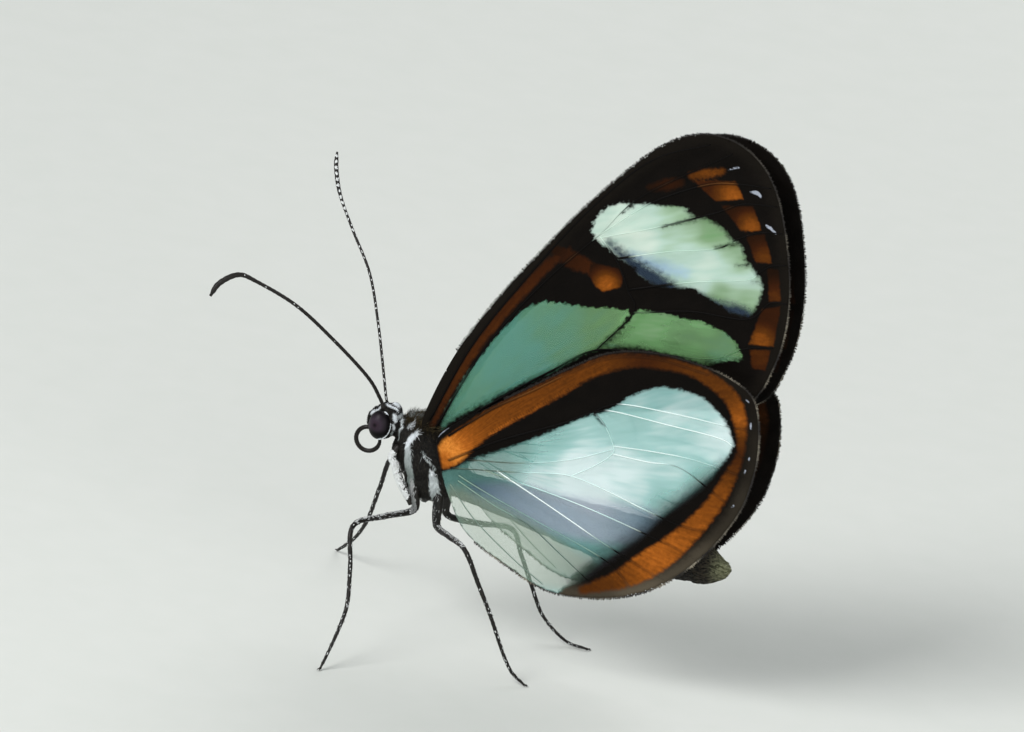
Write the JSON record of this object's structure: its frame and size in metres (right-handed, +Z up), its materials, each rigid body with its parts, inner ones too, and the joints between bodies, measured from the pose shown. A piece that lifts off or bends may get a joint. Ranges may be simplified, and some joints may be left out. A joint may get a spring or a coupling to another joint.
{
  "type": "butterfly",
  "caption": "Life-size still model of a glasswing butterfly at rest, wings closed over its back, standing on four legs with its antennae spread.",
  "frame": {"origin": "middle of the footprint on the ground: centre of the bounding box in X and Y, underside of the feet in Z", "axes": "-X the way the butterfly faces, -Y its left side, +Z up"},
  "size_m": [0.0307, 0.0184, 0.0324],
  "materials": {
    "body": "black-brown cuticle with dense short scales and hairs",
    "eye": "dark purple-brown, softly glossy, finely faceted",
    "leg": "black cuticle with rows of white scales",
    "antenna": "matte black, finely ringed",
    "wing": "clear blue-green membrane with black and orange scaled borders"
  },
  "bodies": {
    "root": {"head": "body", "eye_left": "eye", "eye_right": "eye", "antenna_left": "antenna", "antenna_right": "antenna", "proboscis": "antenna", "thorax": "body", "abdomen": "body", "forewing_left": "wing", "forewing_right": "wing", "hindwing_left": "wing", "hindwing_right": "wing", "foreleg_left": "leg", "foreleg_right": "leg", "midleg_left": "leg", "midleg_right": "leg", "hindleg_left": "leg", "hindleg_right": "leg"}
  },
  "joints": []
}
